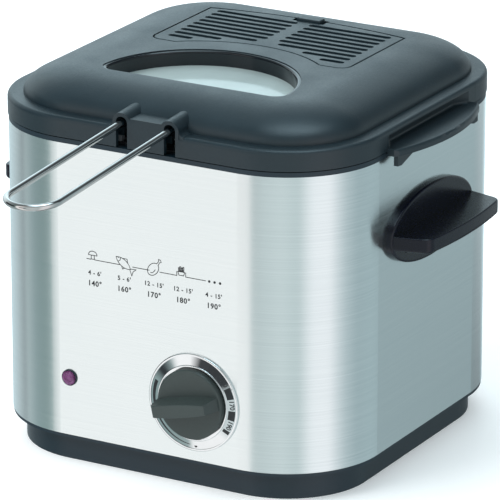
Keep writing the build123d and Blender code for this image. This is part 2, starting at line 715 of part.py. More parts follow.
def wing(side):
    """One finger grip on the side of the lid, with a gusset under each of its ends."""
    plan = Line((SCOOP_X, -WING_HALF), (WING_CORNER_X - 2, -WING_HALF))
    plan += Line((WING_CORNER_X - 2, -WING_HALF), (WING_CORNER_X, -WING_HALF + 2))
    plan += ThreePointArc(
        (WING_CORNER_X, -WING_HALF + 2), (WING_MID_X, 0), (WING_CORNER_X, WING_HALF - 2)
    )
    plan += Line((WING_CORNER_X, WING_HALF - 2), (WING_CORNER_X - 2, WING_HALF))
    plan += Line((WING_CORNER_X - 2, WING_HALF), (SCOOP_X, WING_HALF))
    plan += Line((SCOOP_X, WING_HALF), (SCOOP_X, -WING_HALF))
    plate = Pos(0, 0, WING_TOP - 3.5) * extrude(make_face(plan), 3.5)
    top_edges = [e for e in plate.edges().group_by(Axis.Z)[-1] if e.center().X > WING_CORNER_X - 1]
    plate = fillet(top_edges, 1.6)
    plate -= block(SCOOP_X - 1, HALF + 0.9, -60, 60, WING_TOP - 4, LID_BOTTOM)
    end, low, high = WING_HALF - 2, WING_TOP - 9, WING_TOP - 3
    gusset = Polyline((end, high), (end, low), (end - 4, low - 0.4), (end - 27, high), close=True)
    side_view = Plane(origin=(WING_CORNER_X - 3.2, 0, 0), x_dir=(0, 1, 0), z_dir=(1, 0, 0))
    rib = extrude(side_view * make_face(gusset), 2.4)
    grip = plate + rib + mirror(rib, about=Plane.XZ)
    return grip if side > 0 else mirror(grip, about=Plane.YZ)


def scoop(side):
    """The hollow above a finger grip, running out at both ends."""
    end, far = WING_HALF - 2, LID_HALF + 30
    plan = Polyline(
        (LID_HALF, -end), (far, -end), (far, end), (LID_HALF, end), (SCOOP_X, end - 9),
        (SCOOP_X, -end + 9), close=True,
    )
    tool = Pos(0, 0, WING_TOP) * extrude(make_face(plan), RIM_TOP - 2.6 - WING_TOP)
    floor = tool.edges().group_by(Axis.Z)[0]
    tool = fillet([e for e in floor if e.center().X < LID_HALF - 0.1], 1.4)
    return tool if side > 0 else mirror(tool, about=Plane.YZ)


def lid_cover():
    shell = slab(LID_HALF, LID_R, LID_BOTTOM, RIM_TOP)
    shell = fillet(shell.edges().group_by(Axis.Z)[-1], 2.2)
    shell -= slab(LID_HALF - 2.5, LID_R - 2.5, LID_BOTTOM - 1, RIM_TOP - LID_T)
    shell += dome(0)
    for x in (-HANDLE_X, HANDLE_X):
        shell += front_boss(x)
    shell += block(-9.2, 9.2, -LID_HALF, -86, RIM_TOP - 2, BRIDGE_TOP)
    rib = hoop(97.2, 44.2, 2.0, RIM_TOP - 7, RIM_TOP - LID_T + 0.5)
    for side in (-1, 1):
        low, high = sorted((side * (SCOOP_X - 2.4), side * (LID_HALF - 1)))
        shell += block(low, high, -WING_HALF - 0.5, WING_HALF + 0.5, LID_BOTTOM, RIM_TOP - 1)
    shell = shell - dome(LID_T) + rib
    for side in (-1, 1):
        shell += wing(side)
        shell -= scoop(side)
    for x in (-HANDLE_X, HANDLE_X):
        shell -= slot_tool(x)
    shell -= Pos(0, 0, PLATEAU - 8) * extrude(window_outline(0), 20)
    shell -= Pos(0, 0, PLATEAU - 8) * extrude(cover_outline(COVER_GAP), 20)
    shell -= latch_space()
    for x, y in window_screw_places() + tray_screw_places():
        shell -= drum(1.32, PLATEAU - LID_T - 1, PLATEAU - 0.8, x, y)
    return shell


def latch_space():
    """The notch behind the filter cover that takes its rear tab."""
    half = TAB_HALF + 2.4
    return block(-half, half, COVER_BACK, TAB_BACK + 0.8, PLATEAU - 3, PLATEAU + 5)


def window_screw_places():
    r = WINDOW_R + 4.2
    return [(sx * r * cos(radians(a)), WINDOW_Y + r * sin(radians(a))) for sx in (-1, 1) for a in (8, 48)]


def tray_screw_places():
    return [(sx * 65.5, y) for sx in (-1, 1) for y in (8, 54)]


def window_frame():
    """Deep black frame of the window, with a flange under the lid's top."""
    under = PLATEAU - LID_T
    low = GLASS_TOP - GLASS_T - 2
    flange = Pos(0, 0, under - 1.6) * extrude(window_outline(-7.5), 1.6)
    flange += Pos(0, 0, low) * extrude(window_outline(-1.8), under - low)
    neck = Pos(0, 0, low) * extrude(window_outline(0.15), PLATEAU - 0.4 - low)
    neck -= Pos(0, 0, low - 1) * extrude(window_outline(FRAME_T + 0.15), 40)
    lip = neck.faces().sort_by(Axis.Z)[-1].inner_wires()[0].edges()
    flange -= Pos(0, 0, low - 1) * extrude(window_outline(FRAME_T + 0.15), 40)
    frame = (flange & dome(LID_T + 0.1)) + fillet(lip, 1.2)
    frame -= Pos(0, 0, GLASS_TOP - 20) * extrude(window_outline(0.2), 20)
    keep_clear = block(-80, 80, COVER_FRONT - COVER_GAP - 0.4, 80, 180, 210)
    frame -= keep_clear & (Pos(0, 0, 180) * extrude(cover_outline(2.6), 30))
    for x, y in window_screw_places():
        frame -= drum(1.5, 190, PLATEAU, x, y)
    return frame


def window_glass():
    return Pos(0, 0, GLASS_TOP - GLASS_T) * extrude(window_outline(0.5), GLASS_T)


def window_retainer():
    low = GLASS_TOP - GLASS_T - 2
    ring = Pos(0, 0, low) * extrude(window_outline(0.25), 2)
    return ring - Pos(0, 0, low - 1) * extrude(window_outline(4), 4)


def lid_seal():
    seal = hoop(97.9, 44.9, 3.4, COLLAR_TOP + 1 + GAP, RIM_TOP - 7)
    return seal - block(-18.5, 18.5, -120, -80, 170, 200)


def filter_tray():
    """Open box under the steam slots, with holes in its floor."""
    under = PLATEAU - LID_T
    rim = Pos(0, 0, under - 1.6) * extrude(cover_outline(10.5), 1.6)
    rim -= Pos(0, WINDOW_Y, 180) * extrude(Circle(WINDOW_R + 7.8), 40)
    box = Pos(0, 0, TRAY_BOTTOM) * extrude(cover_outline(0.5), under - TRAY_BOTTOM)
    tray = (rim & dome(LID_T + 0.1)) + box
    tray -= Pos(0, 0, TRAY_BOTTOM + 1.6) * extrude(cover_outline(-1.5), 30)
    for row in range(6):
        for column in range(-5, 6):
            tray -= drum(2.2, TRAY_BOTTOM - 1, TRAY_BOTTOM + 2, column * 9.5, 19 + row * 8)
    tray = tray - hook_space(-1) - hook_space(1)
    tray -= block(-TAB_HALF - 3, TAB_HALF + 3, COVER_BACK - 2, TAB_BACK + 1, PLATEAU - 3.4, 210)
    for x, y in tray_screw_places():
        tray -= drum(1.5, 190, PLATEAU, x, y)
    return tray


def hook_space(side):
    """Where one front hook of the filter cover swings."""
    x = side * 51
    return block(x - 5.5, x + 5.5, COVER_FRONT - 4.6, COVER_FRONT + 6, PLATEAU - 9, PLATEAU + 5)


def filter_layer(low, high):
    layer = Pos(0, 0, low) * extrude(cover_outline(-2.0), high - low)
    return layer - hook_space(-1) - hook_space(1)


def window_screws():
    head = PLATEAU - LID_T - 1.6
    places = window_screw_places()
    return merged([Pos(x, y, head) * Rot(180, 0, 0) * screw(1.3, 3, 2.4, 1.4) for x, y in places])


def tray_screws():
    head = PLATEAU - LID_T - 1.6
    places = tray_screw_places()
    return merged([Pos(x, y, head) * Rot(180, 0, 0) * screw(1.3, 3, 2.4, 1.4) for x, y in places])


def slat_rows():
    """Steam slots: each row in two halves, cut back to follow the front arc."""
    slots = []
    for row, inner in enumerate(SLAT_INNER):
        y = SLAT_FIRST + row * SLAT_PITCH
        length = SLAT_OUTER - inner
        for side in (-1, 1):
            slots.append(Pos(side * (inner + length / 2), y) * SlotOverall(length, SLAT_W))
    return slots


def filter_cover():
    low = PLATEAU - COVER_T
    cover = Pos(0, 0, low) * extrude(cover_outline(0), COVER_T)
    cover = fillet(cover.edges().group_by(Axis.Z)[-1], 0.5)
    for slot in slat_rows():
        cover -= Pos(0, 0, low - 1) * extrude(slot, COVER_T + 2)
    tab = block(-TAB_HALF, TAB_HALF, TAB_FRONT, TAB_BACK, low, PLATEAU + TAB_RISE)
    tab = fillet(tab.edges().group_by(Axis.Z)[-1], 0.6)
    cover -= block(-TAB_HALF - 2.4, TAB_HALF + 2.4, TAB_FRONT - 0.6, 90, low - 1, PLATEAU + 1)
    cover += tab + block(-TAB_HALF, TAB_HALF, TAB_FRONT - 1, TAB_FRONT + 1, low, low + 1)
    for side in (-1, 1):
        x = side * 51
        cover += block(x - 4, x + 4, COVER_FRONT, COVER_FRONT + 2.2, low - 3.4, low)
        cover += block(x - 4, x + 4, COVER_FRONT - 2.6, COVER_FRONT + 2.2, low - 3.4, low - 1.6)
    return cover


PARTS = {
    "base_tray": base_tray(),
    "rubber_feet": rubber_feet(),
    "tie_bolts": tie_bolts(),
    "steel_wrap": steel_wrap(),
    "top_collar": top_collar(),
    "oil_bowl": oil_bowl(),
    "heat_spreader": heat_spreader(),
    "heating_element": heating_element(),
    "bowl_stud": bowl_stud(),
    "heat_shield": heat_shield(),
    "shield_spacers": shield_spacer(),
    "cross_brace": cross_brace(),
    "brace_fasteners": brace_fasteners(),
    "thermostat_body": thermostat_body(),
    "thermostat_sensor": thermostat_sensor(),
    "sensor_clips": sensor_clips(),
    "thermal_cutout": thermal_cutout(),
    "terminal_block": terminal_block(),
    "terminal_screws": terminal_screws(),
    "lamp_lens": lamp_lens(),
    "lamp_ring": lamp_ring(),
    "lamp_holder": lamp_holder(),
    "neon_lamp": neon_lamp(),
    "inlet_gland": inlet_gland(),
    "wiring_harness": wiring_harness(),
    "control_bezel": control_bezel(),
    "dial_plate": dial_plate(),
    "thermostat_screws": thermostat_screws(),
    "control_knob": control_knob(),
    "knob_spindle": knob_spindle(),
    "side_handle_left": side_handle(-1),
    "side_handle_right": side_handle(1),
    "handle_screws": handle_screws(),
    "basket_mesh": basket_mesh(),
    "basket_rim": basket_rim(),
    "basket_legs": basket_legs(),
    "handle_bracket": handle_bracket(),
    "basket_handle": basket_handle(),
    "lid_cover": lid_cover(),
    "window_frame": window_frame(),
    "window_glass": window_glass(),
    "window_retainer": window_retainer(),
    "window_screws": window_screws(),
    "lid_seal": lid_seal(),
    "filter_tray": filter_tray(),
    "tray_screws": tray_screws(),
    "carbon_filter": filter_layer(TRAY_BOTTOM + 1.6, TRAY_BOTTOM + 6.6),
    "grease_filter": filter_layer(TRAY_BOTTOM + 6.6, TRAY_BOTTOM + 11.6),
    "filter_gauze": filter_layer(TRAY_BOTTOM + 11.6, TRAY_BOTTOM + 12.2),
    "filter_cover": filter_cover(),
}

os.makedirs("parts", exist_ok=True)
for name, piece in PARTS.items():
    export_step(piece, f"parts/{name}.step")
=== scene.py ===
import json
import math

import bpy
from mathutils import Matrix, Vector


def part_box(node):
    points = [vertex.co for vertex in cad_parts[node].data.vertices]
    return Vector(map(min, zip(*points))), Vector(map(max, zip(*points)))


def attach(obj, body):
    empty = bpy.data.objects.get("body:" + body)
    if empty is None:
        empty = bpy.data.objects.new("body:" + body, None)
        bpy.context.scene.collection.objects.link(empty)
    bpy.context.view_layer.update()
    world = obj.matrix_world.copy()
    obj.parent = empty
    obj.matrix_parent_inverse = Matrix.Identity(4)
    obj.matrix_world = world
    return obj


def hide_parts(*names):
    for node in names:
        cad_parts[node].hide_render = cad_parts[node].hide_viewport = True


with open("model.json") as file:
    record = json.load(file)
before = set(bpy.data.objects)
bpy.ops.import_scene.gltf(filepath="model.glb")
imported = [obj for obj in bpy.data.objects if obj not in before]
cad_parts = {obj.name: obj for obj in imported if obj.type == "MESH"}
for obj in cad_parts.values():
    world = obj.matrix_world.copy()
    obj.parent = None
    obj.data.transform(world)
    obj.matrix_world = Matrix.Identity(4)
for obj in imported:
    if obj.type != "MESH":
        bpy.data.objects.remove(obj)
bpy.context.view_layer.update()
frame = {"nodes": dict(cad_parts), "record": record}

MM = 0.001

# ---- sizes shared with the CAD model, in millimetres ----------------------------------
HALF = 105.0                            # half the width of the steel body
KNOB_X, KNOB_Z = 27.5, 48.0             # middle of the knob and its dial
DIAL_INNER, DIAL_OUTER = 20.4, 25.1     # edges of the dial ring
DIAL_HIGH, DIAL_LOW = 1.9, 0.9          # how far those two edges stand off the steel
PLATEAU = 202.3                         # top of the filter cover
SLOT_STARTS = (38.0, 24.3, 6.4, 3.5, 3.5, 3.5, 3.5, 3.5, 3.5)   # inner end of each steam slot
SLOT_END = 52.3
SLOT_FIRST_Y, SLOT_PITCH = 6.8, 6.4
BAY_Y, BAY_R = -55.7, 70.5              # the round bay that the window cuts into the gauze
BASKET_HALF, BASKET_R = 80.0, 38.0      # basket wall and its corners, at the top
BASKET_LOW, BASKET_HIGH = 97.0, 170.2
BASKET_DRAFT = math.tan(math.radians(4.0))
BASKET_SKIN = 0.5                       # from the CAD wall's outside in to the wires

# ---- sizes of the looks, in millimetres -----------------------------------------------
MESH_PITCH, MESH_WIRE, MESH_WAVE = 4.6, 0.42, 0.34
MESH_BEND, BEND_STEPS = 8.0, 5          # where a wire turns from the wall to the floor
MESH_COUNT, MESH_SHORTEST = 30, 30.0
RIB_PITCH, RIB_WIDTH, RIB_HALF_GAP = 2.15, 0.7, 1.84
RIB_LEAN = math.tan(math.radians(16))
RIB_TOP, RIB_LOW = PLATEAU - 1.3, PLATEAU - 1.95
GAUZE_WIRE, GAUZE_PITCH = 0.14, 1.9
GAUZE_BACK = 6.0                        # kept clear along the back edge
NOTCH_IN, NOTCH_OUT, NOTCH_DEEP = 44.0, 58.0, 8.0   # notches at the gauze's front corners
RING_INK = 0.04                         # thickness of the print on the dial ring
FRONT_INK, FRONT_GAP = 0.03, 0.01       # thickness of the front print, and its gap to the steel
LETTER_HALF, LETTER_BOLD = 0.02, 0.026
GUIDE_LINE = 114.5                      # height of the printed line of the cooking guide
MINUTES_Z, MINUTES_SIZE = 107.2, 3.3
HEAT_Z, HEAT_SIZE = 101.5, 4.0
GUIDE_WORDS = (                         # place from the middle, minutes, degrees
    (-30.9, "4 - 6'", 140), (-13.4, "5 - 6'", 160), (4.1, "12 - 15'", 170),
    (21.2, "12 - 15'", 180), (39.1, "4 - 15'", 190),
)
SEAM_LOW, SEAM_HIGH = 17, 173.5
REAR_SINK = 0.05                        # how far the rear pieces start inside the steel

# ---- camera ---------------------------------------------------------------------------
AZIMUTH = math.radians(29.566)
ELEVATION = math.radians(18.965)
AIM = Vector((0.0004, 0.0002, 0.0937))
DISTANCE = 2.5996
LENS_MM, SENSOR_MM = 356.3, 36.0
CLIP_END = 50.0


def put(name, data):
    """A new object in the scene."""
    made = bpy.data.objects.new(name, data)
    bpy.context.scene.collection.objects.link(made)
    return made


def camera():
    back = Vector((
        math.sin(AZIMUTH) * math.cos(ELEVATION),
        -math.cos(AZIMUTH) * math.cos(ELEVATION),
        math.sin(ELEVATION),
    ))
    data = bpy.data.cameras.new("camera")
    data.lens = LENS_MM
    data.sensor_width = SENSOR_MM
    data.clip_end = CLIP_END
    eye = put("camera", data)
    eye.location = AIM + back * DISTANCE
    eye.rotation_euler = (-back).to_track_quat("-Z", "Y").to_euler()
    bpy.context.scene.camera = eye


# ---- shader helpers -------------------------------------------------------------------
def feed(tree, socket, value):
    """Links a value into a socket, or sets it there."""
    if isinstance(value, bpy.types.NodeSocket):
        tree.links.new(value, socket)
    else:
        socket.default_value = value


def node(tree, kind, **inputs):
    """A shader node with its inputs fed; an underscore stands for a space."""
    made = tree.nodes.new(kind)
    for key, value in inputs.items():
        feed(tree, made.inputs[key.replace("_", " ")], value)
    return made


def noise(tree, where, scale, detail=3.0, stretch=(1, 1, 1)):
    spread = node(tree, "ShaderNodeMapping", Vector=where, Scale=[scale * s for s in stretch])
    made = node(tree, "ShaderNodeTexNoise", Vector=spread.outputs[0], Scale=1.0, Detail=detail)
    return made.outputs[0]


def remap(tree, value, low, high, to_low, to_high):
    made = node(
        tree, "ShaderNodeMapRange", Value=value, From_Min=low, From_Max=high,
        To_Min=to_low, To_Max=to_high,
    )
    return made.outputs[0]


def maths(tree, operation, *values):
    made = tree.nodes.new("ShaderNodeMath")
    made.operation = operation
    for socket, value in zip(made.inputs, values):
        feed(tree, socket, value)
    return made.outputs[0]


def share(tree, a, b, part):
    """A sum with this part of a, and the rest of b."""
    of_a = maths(tree, "MULTIPLY", a, part)
    of_b = maths(tree, "MULTIPLY", b, 1 - part)
    return maths(tree, "ADD", of_a, of_b)


def blend(tree, factor, a, b, how="MIX"):
    """A colour between a and b."""
    made = tree.nodes.new("ShaderNodeMix")
    made.data_type = "RGBA"
    made.blend_type = how
    feed(tree, made.inputs[0], factor)
    for socket, colour in ((made.inputs[6], a), (made.inputs[7], b)):
        linked = isinstance(colour, bpy.types.NodeSocket)
        feed(tree, socket, colour if linked else (*colour, 1.0))
    return made.outputs[2]


def bump(tree, shader, height, depth):
    """Relief on the surface, its depth in millimetres."""
    made = node(tree, "ShaderNodeBump", Strength=1.0, Distance=depth * MM, Height=height)
    feed(tree, shader.inputs["Normal"], made.outputs[0])


def new_material(name):
    made = bpy.data.materials.new(name)
    made.use_nodes = True
    tree = made.node_tree
    where = tree.nodes.new("ShaderNodeTexCoord").outputs["Object"]
    return made, tree, tree.nodes["Principled BSDF"], where


def surface(
    name, colour, rough, metal=0.0, mottle=0.08, clouds=45.0, grain=900.0, depth=0.02,
    spread=0.06, stretch=(1, 1, 1), wear=0.25, **extra,
):
    """A material whose colour, roughness and relief vary over the piece; depth is in mm."""
    made, tree, shader, where = new_material(name)
    cloud = noise(tree, where, clouds, 4.0)
    fine = noise(tree, where, grain, 2.0, stretch)
    light = [min(1.0, c * (1 + mottle)) for c in colour]
    dark = [c * (1 - mottle) for c in colour]
    worn = [c * (1 - 2.2 * mottle) for c in colour]
    tint = blend(tree, remap(tree, cloud, 0.32, 0.68, 0, 1), dark, light)
    tint = blend(tree, remap(tree, fine, 0.35, 0.7, 0, wear), tint, worn)
    feed(tree, shader.inputs["Base Color"], tint)
    both = share(tree, cloud, fine, 0.5)
    uneven = remap(tree, both, 0.35, 0.65, rough - spread, rough + spread)
    feed(tree, shader.inputs["Roughness"], uneven)
    bump(tree, shader, fine, depth)
    shader.inputs["Metallic"].default_value = metal
    for key, value in extra.items():
        shader.inputs[key.replace("_", " ")].default_value = value
    return made


def brushed_steel():
    """Sheet brushed level all round the body: fine lines, long faint bands, a few clouds."""
    made, tree, shader, where = new_material("brushed_steel")
    lines = noise(tree, where, 1.0, 3.0, (7, 7, 2600))
    bands = noise(tree, where, 1.0, 3.0, (2.5, 2.5, 240))
    cloud = noise(tree, where, 26.0, 3.0)
    mixed = share(tree, lines, bands, 0.86)
    stripe = remap(tree, mixed, 0.3, 0.7, 0, 1)
    tint = blend(tree, stripe, (0.745, 0.795, 0.80), (0.85, 0.895, 0.895))
    tint = blend(tree, remap(tree, cloud, 0.3, 0.75, 0, 0.16), tint, (0.72, 0.79, 0.80))
    feed(tree, shader.inputs["Base Color"], tint)
    feed(tree, shader.inputs["Roughness"], remap(tree, mixed, 0.3, 0.7, 0.19, 0.27))
    bump(tree, shader, lines, 0.0009)
    tangent = tree.nodes.new("ShaderNodeTangent")
    tangent.direction_type = "RADIAL"
    tangent.axis = "Z"
    feed(tree, shader.inputs["Tangent"], tangent.outputs[0])
    shader.inputs["Metallic"].default_value = 1.0
    shader.inputs["Anisotropic"].default_value = 0.75
    shader.inputs["Anisotropic Rotation"].default_value = 0.25
    return made


def clear_glass(name, colour, smear, clear=1.0):
    """Glass with cooking haze in soft streaks: it blurs, and whitens where clear is below 1,
    partly as haze and partly as a painted reflection.
    """
    made, tree, shader, where = new_material(name)
    haze_and_sheen = noise(tree, where, 1.0, 3.0, (34, 11, 30))
    dust = noise(tree, where, 420.0, 2.0)
    streak = remap(tree, haze_and_sheen, 0.35, 0.7, 0, 1)
    tint = blend(tree, streak, colour, [c * 0.93 for c in colour])
    feed(tree, shader.inputs["Base Color"], tint)
    both = share(tree, haze_and_sheen, dust, 0.75)
    feed(tree, shader.inputs["Roughness"], remap(tree, both, 0.35, 0.65, 0.03, smear))
    bump(tree, shader, haze_and_sheen, 0.004)
    # less passes through in the streaks, so more of the whitish colour shows: partly haze,
    # partly a painted reflection
    through = remap(tree, haze_and_sheen, 0.35, 0.65, clear, clear - 0.3 * (1 - clear))
    feed(tree, shader.inputs["Transmission Weight"], through)
    shader.inputs["IOR"].default_value = 1.3
    return made


def lamp_plastic():
    """Violet lens moulded with small facets."""
    made, tree, shader, where = new_material("lens")
    cells = node(tree, "ShaderNodeTexVoronoi", Vector=where, Scale=620.0)
    cloud = noise(tree, where, 260.0)
    patch = remap(tree, cloud, 0.3, 0.7, 0, 1)
    tint = blend(tree, patch, (0.15, 0.03, 0.12), (0.34, 0.12, 0.31))
    feed(tree, shader.inputs["Base Color"], tint)
    feed(tree, shader.inputs["Roughness"], remap(tree, cloud, 0.3, 0.7, 0.06, 0.14))
    bump(tree, shader, cells.outputs[0], 0.75)
    shader.inputs["Transmission Weight"].default_value = 0.35
    return made


def sleeve():
    """Braided glass-fibre sleeving: two crossing sets of threads."""
    made, tree, shader, where = new_material("sleeving")
    across = node(tree, "ShaderNodeMapping", Vector=where, Rotation=(0.9, 0.7, 1.4)).outputs[0]
    threads = [
        node(tree, "ShaderNodeTexWave", Vector=way, Scale=420.0, Distortion=1.2).outputs[1]
        for way in (where, across)
    ]
    weave = maths(tree, "MULTIPLY", *threads)
    tint = blend(tree, weave, (0.38, 0.34, 0.28), (0.66, 0.61, 0.53))
    feed(tree, shader.inputs["Base Color"], tint)
    feed(tree, shader.inputs["Roughness"], remap(tree, weave, 0, 1, 0.95, 0.75))
    bump(tree, shader, weave, 0.12)
    return made


def finishes():
    """One material for every slot of the record."""
    plain = {
        "lid_plastic": ((0.009, 0.020, 0.027), 0.39, dict(grain=1200, depth=0.045, wear=0.45)),
        "dark_plastic": ((0.006, 0.019, 0.030), 0.42, dict(grain=1500, depth=0.015)),
        "handle_plastic": (
            (0.0015, 0.0022, 0.009), 0.25, dict(grain=700, depth=0.008, Specular_IOR_Level=0.36)
        ),
        "frame_plastic": (
            (0.004, 0.006, 0.009), 0.12, dict(grain=300, depth=0.006, spread=0.04)
        ),
        "knob_plastic": ((0.036, 0.048, 0.046), 0.40, dict(grain=1100, depth=0.020)),
        "bright_wire": (
            (0.64, 0.62, 0.61), 0.07, dict(metal=1.0, mottle=0.06, grain=420, depth=0.006)
        ),
        "chrome": (
            (0.78, 0.80, 0.81), 0.055,
            dict(metal=1.0, mottle=0.03, grain=260, depth=0.002, spread=0.03),
        ),
        "zinc_steel": (
            (0.50, 0.51, 0.50), 0.40,
            dict(metal=1.0, mottle=0.14, clouds=160, grain=1100, depth=0.012),
        ),
        "aluminium": (
            (0.60, 0.61, 0.62), 0.46, dict(metal=1.0, mottle=0.10, grain=800, depth=0.040)
        ),
        "non_stick": (
            (0.020, 0.020, 0.023), 0.34, dict(mottle=0.20, clouds=60, grain=2400, depth=0.012)
        ),
        "rubber": ((0.016, 0.016, 0.017), 0.78, dict(mottle=0.15, grain=1300, depth=0.030)),
        "seal": ((0.19, 0.20, 0.21), 0.62, dict(grain=900, depth=0.020)),
        "thermoset": ((0.33, 0.27, 0.19), 0.50, dict(mottle=0.14, clouds=120, grain=1500)),
        "terminal_plastic": ((0.62, 0.62, 0.57), 0.45, dict(mottle=0.06, grain=1000)),
        "brass": (
            (0.62, 0.44, 0.17), 0.30, dict(metal=1.0, mottle=0.10, grain=700, depth=0.010)
        ),
        "carbon_pad": ((0.014, 0.014, 0.015), 0.95, dict(mottle=0.35, grain=650, depth=0.50)),
        "fleece": (
            (0.58, 0.58, 0.54), 0.95, dict(mottle=0.14, grain=800, depth=0.40, wear=0.6)
        ),
        # gauze: a dark metal grey, partly its own colour and partly painted shade for the depth
        # of the steam slots
        "gauze": (
            (0.16, 0.17, 0.18), 0.42,
            dict(metal=1.0, mottle=0.22, grain=1100, depth=0.060, stretch=(60, 60, 1)),
        ),
    }
    made = {
        name: surface(name, colour, rough, **rest)
        for name, (colour, rough, rest) in plain.items()
    }
    made["brushed_steel"] = brushed_steel()
    # the window glass lets about half through; its whitish colour is partly haze and partly a
    # painted reflection of the bright room
    made["glass"] = clear_glass("glass", (0.57, 0.68, 0.68), 0.12, 0.46)
    made["lens"] = lamp_plastic()
    made["neon_glass"] = clear_glass("neon_glass", (0.95, 0.74, 0.60), 0.08)
    made["sleeving"] = sleeve()
    return made


def paint(piece, material):
    if piece.material_slots:
        for place in piece.material_slots:
            place.material = material
    else:
        piece.data.materials.append(material)


# ---- mesh helpers, all in millimetres -------------------------------------------------
def mesh_piece(name, points, faces, material, smooth=False):
    data = bpy.data.meshes.new(name)
    data.from_pydata([[v * MM for v in p] for p in points], [], faces)
    data.update()
    data.polygons.foreach_set("use_smooth", [smooth] * len(data.polygons))
    data.materials.append(material)
    return put(name, data)


def add_tube(points, faces, path, radius, sides, closed=False):
    """Adds a round wire along a path of points."""
    path = [Vector(p) for p in path]
    count = len(path)
    first = len(points)
    side = None
    for i, here in enumerate(path):
        ahead = path[(i + 1) % count] if closed or i + 1 < count else here
        behind = path[i - 1] if closed or i else here
        way = (ahead - behind).normalized()
        if side is None:
            side = way.orthogonal().normalized()
        side = (side - way * side.dot(way)).normalized()
        other = way.cross(side)
        for k in range(sides):
            a = 2 * math.pi * k / sides
            points.append(here + (side * math.cos(a) + other * math.sin(a)) * radius)
    for i in range(count if closed else count - 1):
        low, high = first + i * sides, first + ((i + 1) % count) * sides
        for k in range(sides):
            n = (k + 1) % sides
            faces.append((low + k, low + n, high + n, high + k))
    if not closed:
        faces.append(tuple(range(first + sides - 1, first - 1, -1)))
        last = first + (count - 1) * sides
        faces.append(tuple(range(last, last + sides)))


def add_prism(points, faces, outline, lift):
    """Adds a thin plate; lift(u, v, t) places a flat point at height t."""
    count = len(outline)
    first = len(points)
    for t in (0.0, 1.0):
        points.extend(lift(u, v, t) for u, v in outline)
    faces.append(tuple(first + i for i in reversed(range(count))))
    faces.append(tuple(first + count + i for i in range(count)))
    for i in range(count):
        n = (i + 1) % count
        faces.append((first + i, first + n, first + count + n, first + count + i))


def add_disc(points, faces, x, y, radius, lift):
    """Adds a round dot."""
    sides = 12
    turns = [2 * math.pi * k / sides for k in range(sides)]
    ring = [(x + radius * math.cos(a), y + radius * math.sin(a)) for a in turns]
    add_prism(points, faces, ring, lift)


def add_stroke(points, faces, path, width, lift, closed=False):
    """Adds a drawn line of even width with round ends."""
    pairs = list(zip(path, path[1:] + path[:1] if closed else path[1:]))
    for (ax, ay), (bx, by) in pairs:
        length = math.hypot(bx - ax, by - ay)
        if length < 1e-6:
            continue
        nx, ny = -(by - ay) / length * width / 2, (bx - ax) / length * width / 2
        quad = [(ax + nx, ay + ny), (ax - nx, ay - ny), (bx - nx, by - ny), (bx + nx, by + ny)]
        add_prism(points, faces, quad, lift)
    for x, y in path:
        add_disc(points, faces, x, y, width / 2, lift)


def arc(x, y, radius, start, end, steps=12, squash=1.0):
    """Points along an arc, angles in degrees anticlockwise from +x."""
    made = []
    for i in range(steps + 1):
        a = math.radians(start + (end - start) * i / steps)
        made.append((x + radius * math.cos(a), y + radius * squash * math.sin(a)))
    return made


def round_corners(corners, radius, steps):
    """An outline round (x, y) corner centres, given anticlockwise from the one at +x, +y."""
    made = []
    for quarter, (x, y) in enumerate(corners):
        made += arc(x, y, radius, 90 * quarter, 90 * quarter + 90, steps)
    return made


def turned(path, x, y, degrees):
    """A drawn path turned about its own origin and moved to x, y."""
    c, s = math.cos(math.radians(degrees)), math.sin(math.radians(degrees))
    return [(x + u * c - v * s, y + u * s + v * c) for u, v in path]


def upright(x, y, z):
    """Places lettering on the front, reading along +x and standing along +z."""
    return Matrix.Translation((x, y, z)) @ Matrix.Rotation(math.radians(90), 4, "X")


def lettering(name, words, material, place, spacing=1.0):
    """Numbers as thin plates. words holds (text, x, y, size, angle); place is a matrix."""
    points, faces = [], []
    for text, x, y, size, angle in words:
        curve = bpy.data.curves.new(name, "FONT")
        curve.body = text
        curve.size = size
        curve.align_x = "CENTER"
        curve.align_y = "CENTER"
        curve.extrude = LETTER_HALF
        curve.offset = LETTER_BOLD * size
        curve.space_character = spacing
        curve.resolution_u = 3
        temporary = put(name, curve)
        bpy.context.view_layer.update()
        solid = temporary.evaluated_get(bpy.context.evaluated_depsgraph_get()).to_mesh()
        turn = Matrix.Rotation(math.radians(angle), 4, "Z")
        spin = place @ Matrix.Translation((x, y, 0)) @ turn
        first = len(points)
        points.extend(spin @ v.co for v in solid.vertices)
        faces.extend(tuple(first + i for i in p.vertices) for p in solid.polygons)
        bpy.data.objects.remove(temporary)
        bpy.data.curves.remove(curve)
    return mesh_piece(name, points, faces, material)


# ---- pieces that replace plain CAD shapes ---------------------------------------------
def basket_square(z):
    """Half the width of the basket's wall at height z, and its corner radius."""
    inward = (BASKET_HIGH - z) * BASKET_DRAFT + BASKET_SKIN
    return BASKET_HALF - inward, BASKET_R - inward


def basket_limit(across, z):
    """How far the basket's wall stands from the middle at height z, in line with across."""
    half, radius = basket_square(z)
    flat = half - radius
    beyond = abs(across) - flat
    if beyond <= 0:
        return half
    return flat + math.sqrt(max(radius * radius - beyond * beyond, 0.0))


